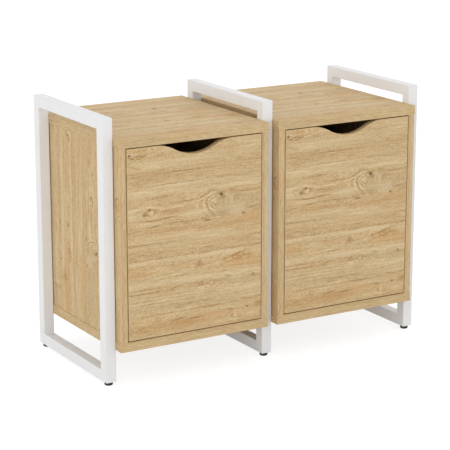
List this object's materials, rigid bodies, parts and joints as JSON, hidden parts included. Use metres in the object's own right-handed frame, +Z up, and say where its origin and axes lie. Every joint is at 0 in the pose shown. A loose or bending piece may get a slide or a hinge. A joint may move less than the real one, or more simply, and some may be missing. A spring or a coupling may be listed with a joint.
{
  "type": "kitchen base cabinet",
  "caption": "Low base cabinet unit: oak laminate boxes with inset scooped doors hung between white square-tube loop frames on black levelling feet.",
  "frame": {"origin": "on the floor under the feet, midway between the outer frames and midway front to back", "axes": "+Z up, +X from the left frame to the right one, -Y out of the doors"},
  "size_m": [0.97, 0.46, 0.7],
  "materials": {
    "white_powder_coat": "fine satin powder coat, white",
    "black_plastic": "moulded, fine satin, black",
    "oak_edging": "matt edging with fine lengthwise grain",
    "oak_laminate": "matt light oak laminate with knots and cathedral grain",
    "beech_dowel": "turned beech",
    "white_plastic": "moulded, satin, white",
    "magnet_steel": "ground steel and dark ferrite",
    "zinc_steel": "bright zinc plating",
    "black_steel": "blackened steel, slightly oiled"
  },
  "bodies": {
    "carcass": {"left_frame": "white_powder_coat", "middle_frame": "white_powder_coat", "right_frame": "white_powder_coat", "post_rivet_nuts": "zinc_steel", "foot_inserts": "zinc_steel", "left_top_panel": "oak_laminate", "left_bottom_panel": "oak_laminate", "left_outer_side": "oak_laminate", "left_inner_side": "oak_laminate", "left_back_panel": "oak_laminate", "left_front_edging": "oak_edging", "left_side_edging": "oak_edging", "left_shelf": "oak_laminate", "left_shelf_pins": "zinc_steel", "left_pivot_pins": "black_steel", "left_catch_housing": "white_plastic", "left_catch_magnet": "magnet_steel", "right_top_panel": "oak_laminate", "right_bottom_panel": "oak_laminate", "right_outer_side": "oak_laminate", "right_inner_side": "oak_laminate", "right_back_panel": "oak_laminate", "right_front_edging": "oak_edging", "right_side_edging": "oak_edging", "right_shelf": "oak_laminate", "right_shelf_pins": "zinc_steel", "right_pivot_pins": "black_steel", "right_catch_housing": "white_plastic", "right_catch_magnet": "magnet_steel", "catch_screws": "zinc_steel", "panel_dowels": "beech_dowel", "cam_locks": "zinc_steel", "cam_bolts": "zinc_steel", "frame_bolts": "zinc_steel", "frame_spacers": "black_plastic"},
    "left_door": {"left_door": "oak_laminate", "left_door_edging": "oak_edging", "left_door_bushes": "black_plastic", "left_strike_plate": "zinc_steel", "left_strike_screws": "zinc_steel"},
    "right_door": {"right_door": "oak_laminate", "right_door_edging": "oak_edging", "right_door_bushes": "black_plastic", "right_strike_plate": "zinc_steel", "right_strike_screws": "zinc_steel"},
    "left_front_foot": {"left_front_foot_pad": "black_plastic", "left_front_foot_stud": "zinc_steel"},
    "left_rear_foot": {"left_rear_foot_pad": "black_plastic", "left_rear_foot_stud": "zinc_steel"},
    "middle_front_foot": {"middle_front_foot_pad": "black_plastic", "middle_front_foot_stud": "zinc_steel"},
    "middle_rear_foot": {"middle_rear_foot_pad": "black_plastic", "middle_rear_foot_stud": "zinc_steel"},
    "right_front_foot": {"right_front_foot_pad": "black_plastic", "right_front_foot_stud": "zinc_steel"},
    "right_rear_foot": {"right_rear_foot_pad": "black_plastic", "right_rear_foot_stud": "zinc_steel"}
  },
  "joints": [
    {"name": "left_door_hinge", "type": "hinge", "parent": "carcass", "child": "left_door", "pos_m": [-0.4075, -0.221, 0.12], "axis": [0, 0, -1], "range_deg": [0, 140]},
    {"name": "right_door_hinge", "type": "hinge", "parent": "carcass", "child": "right_door", "pos_m": [0.4075, -0.221, 0.12], "axis": [0, 0, 1], "range_deg": [0, 140]},
    {"name": "left_front_foot_screw", "type": "slide", "parent": "carcass", "child": "left_front_foot", "axis": [0, 0, -1], "range_m": [0, 0.012]},
    {"name": "left_rear_foot_screw", "type": "slide", "parent": "carcass", "child": "left_rear_foot", "axis": [0, 0, -1], "range_m": [0, 0.012]},
    {"name": "middle_front_foot_screw", "type": "slide", "parent": "carcass", "child": "middle_front_foot", "axis": [0, 0, -1], "range_m": [0, 0.012]},
    {"name": "middle_rear_foot_screw", "type": "slide", "parent": "carcass", "child": "middle_rear_foot", "axis": [0, 0, -1], "range_m": [0, 0.012]},
    {"name": "right_front_foot_screw", "type": "slide", "parent": "carcass", "child": "right_front_foot", "axis": [0, 0, -1], "range_m": [0, 0.012]},
    {"name": "right_rear_foot_screw", "type": "slide", "parent": "carcass", "child": "right_rear_foot", "axis": [0, 0, -1], "range_m": [0, 0.012]}
  ]
}
